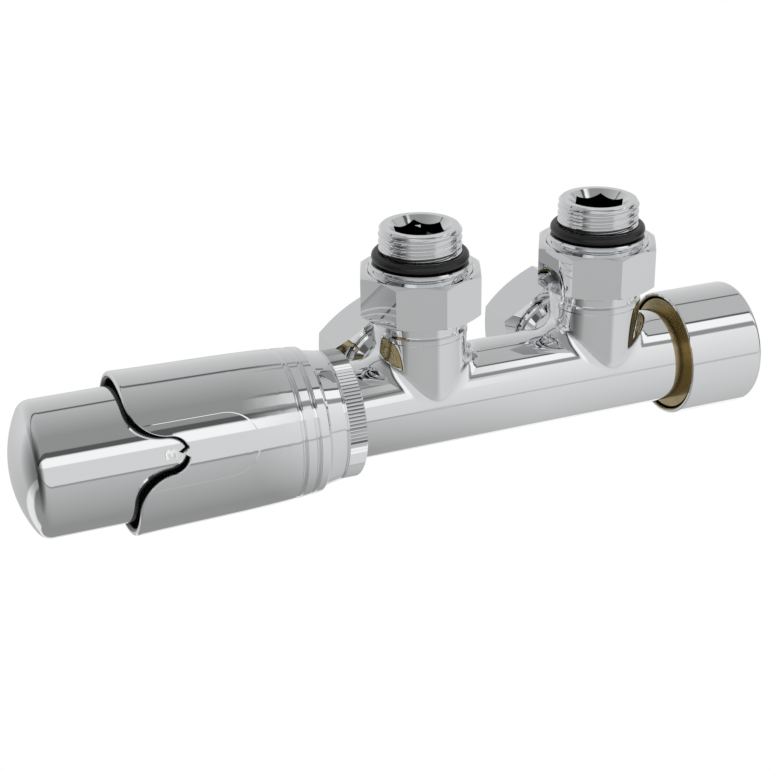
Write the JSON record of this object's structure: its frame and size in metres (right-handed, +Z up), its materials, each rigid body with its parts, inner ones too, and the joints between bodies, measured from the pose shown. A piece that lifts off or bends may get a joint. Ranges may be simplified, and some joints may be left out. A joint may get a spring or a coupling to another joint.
{
  "type": "radiator valve multiblock",
  "caption": "Corner multiblock that joins a radiator's centre connections to wall pipes, with a chromed sensor head, a return shut-off under a cap, union nuts and pipe nuts.",
  "frame": {"origin": "on the cross tube's axis, midway between the two radiator connections", "axes": "+X along the tube towards the return side's cap, -X towards the head, +Y towards the wall pipes, +Z up towards the radiator"},
  "size_m": [0.1992, 0.0559, 0.0676],
  "materials": {
    "chrome_plate": "polished",
    "chrome_plastic": "polished",
    "bare_brass": "machined",
    "black_rubber": "smooth",
    "grey_fibre": "matte",
    "steel": "drawn",
    "white_plastic": "moulded",
    "grey_plastic": "moulded"
  },
  "bodies": {
    "valve": {"valve_body": "chrome_plate", "outer_sleeve": "chrome_plastic", "head_base": "grey_plastic", "ring_nut_clip": "steel", "knob_clip": "steel", "insert_housing": "bare_brass", "insert_housing_ring": "black_rubber", "insert_gland": "bare_brass", "gland_ring": "black_rubber", "seat_cage": "white_plastic", "seat_cage_ring": "black_rubber", "return_housing": "bare_brass", "return_housing_ring": "black_rubber", "return_stop_ring": "steel", "cap_ring": "black_rubber", "radiator_nipple_left": "chrome_plate", "nipple_seal_ring_left": "black_rubber", "union_snap_ring_left": "steel", "union_gasket_left": "grey_fibre", "sealing_cone_left": "bare_brass", "sealing_cone_ring_left": "black_rubber", "radiator_nipple_right": "chrome_plate", "nipple_seal_ring_right": "black_rubber", "union_snap_ring_right": "steel", "union_gasket_right": "grey_fibre", "sealing_cone_right": "bare_brass", "sealing_cone_ring_right": "black_rubber"},
    "union_nut_left": {"union_nut_left": "chrome_plate"},
    "union_nut_right": {"union_nut_right": "chrome_plate"},
    "clamp_left": {"clamp_ring_left": "bare_brass"},
    "clamp_right": {"clamp_ring_right": "bare_brass"},
    "pipe_nut_left": {"pipe_nut_left": "chrome_plate"},
    "pipe_nut_right": {"pipe_nut_right": "chrome_plate"},
    "ring_nut": {"ring_nut": "chrome_plate"},
    "knob": {"knob": "chrome_plastic"},
    "sensor_train": {"sensor_carrier": "white_plastic", "overload_spring": "steel", "sensor_capsule": "steel", "push_stem": "white_plastic"},
    "spindle": {"valve_spindle": "steel", "valve_washer": "black_rubber", "opening_spring": "steel"},
    "return_plug": {"return_washer": "black_rubber", "return_screw_ring": "black_rubber"},
    "return_screw": {"return_screw": "bare_brass"},
    "cover_cap": {"cover_cap": "chrome_plate"}
  },
  "joints": [
    {"name": "union_nut_left_turn", "type": "hinge", "parent": "valve", "child": "union_nut_left", "pos_m": [-0.025, 0, 0.0304], "axis": [0, 0, 1], "continuous": true},
    {"name": "union_nut_right_turn", "type": "hinge", "parent": "valve", "child": "union_nut_right", "pos_m": [0.025, 0, 0.0304], "axis": [0, 0, 1], "continuous": true},
    {"name": "pipe_nut_left_shift", "type": "slide", "parent": "valve", "child": "clamp_left", "axis": [0, 1, 0], "range_m": [0, 0.00545]},
    {"name": "pipe_nut_left_turn", "type": "hinge", "parent": "clamp_left", "child": "pipe_nut_left", "pos_m": [-0.025, 0.03, 0], "axis": [0, 1, 0], "range_deg": [0, 1080]},
    {"name": "pipe_nut_right_shift", "type": "slide", "parent": "valve", "child": "clamp_right", "axis": [0, 1, 0], "range_m": [0, 0.00545]},
    {"name": "pipe_nut_right_turn", "type": "hinge", "parent": "clamp_right", "child": "pipe_nut_right", "pos_m": [0.025, 0.03, 0], "axis": [0, 1, 0], "range_deg": [0, 1080]},
    {"name": "ring_nut_turn", "type": "hinge", "parent": "valve", "child": "ring_nut", "pos_m": [-0.052, 0, 0], "axis": [1, 0, 0], "continuous": true},
    {"name": "knob_turn", "type": "hinge", "parent": "valve", "child": "knob", "pos_m": [-0.089, 0, 0], "axis": [1, 0, 0], "range_deg": [-100, 150]},
    {"name": "sensor_slide", "type": "slide", "parent": "valve", "child": "sensor_train", "axis": [1, 0, 0], "range_m": [-0.00064, 0.00096]},
    {"name": "spindle_slide", "type": "slide", "parent": "valve", "child": "spindle", "axis": [1, 0, 0], "range_m": [-0.00064, 0.00096], "deforming": ["opening_spring"]},
    {"name": "return_plug_slide", "type": "slide", "parent": "valve", "child": "return_plug", "axis": [1, 0, 0], "range_m": [-0.00151, 0.00151]},
    {"name": "return_screw_turn", "type": "hinge", "parent": "return_plug", "child": "return_screw", "pos_m": [0.045, 0, 0], "axis": [1, 0, 0], "range_deg": [-540, 540]},
    {"name": "cover_cap_slide", "type": "slide", "parent": "valve", "child": "cover_cap", "axis": [1, 0, 0], "range_m": [0, 0.03]}
  ],
  "couplings": [
    {"joint": "sensor_slide", "follows": "knob_turn", "m_per_rad": 0.00036287},
    {"joint": "spindle_slide", "follows": "knob_turn", "m_per_rad": 0.00036287},
    {"joint": "return_plug_slide", "follows": "return_screw_turn", "m_per_rad": 0.00015915},
    {"joint": "pipe_nut_left_shift", "follows": "pipe_nut_left_turn", "m_per_rad": 0.00028871},
    {"joint": "pipe_nut_right_shift", "follows": "pipe_nut_right_turn", "m_per_rad": 0.00028871}
  ]
}
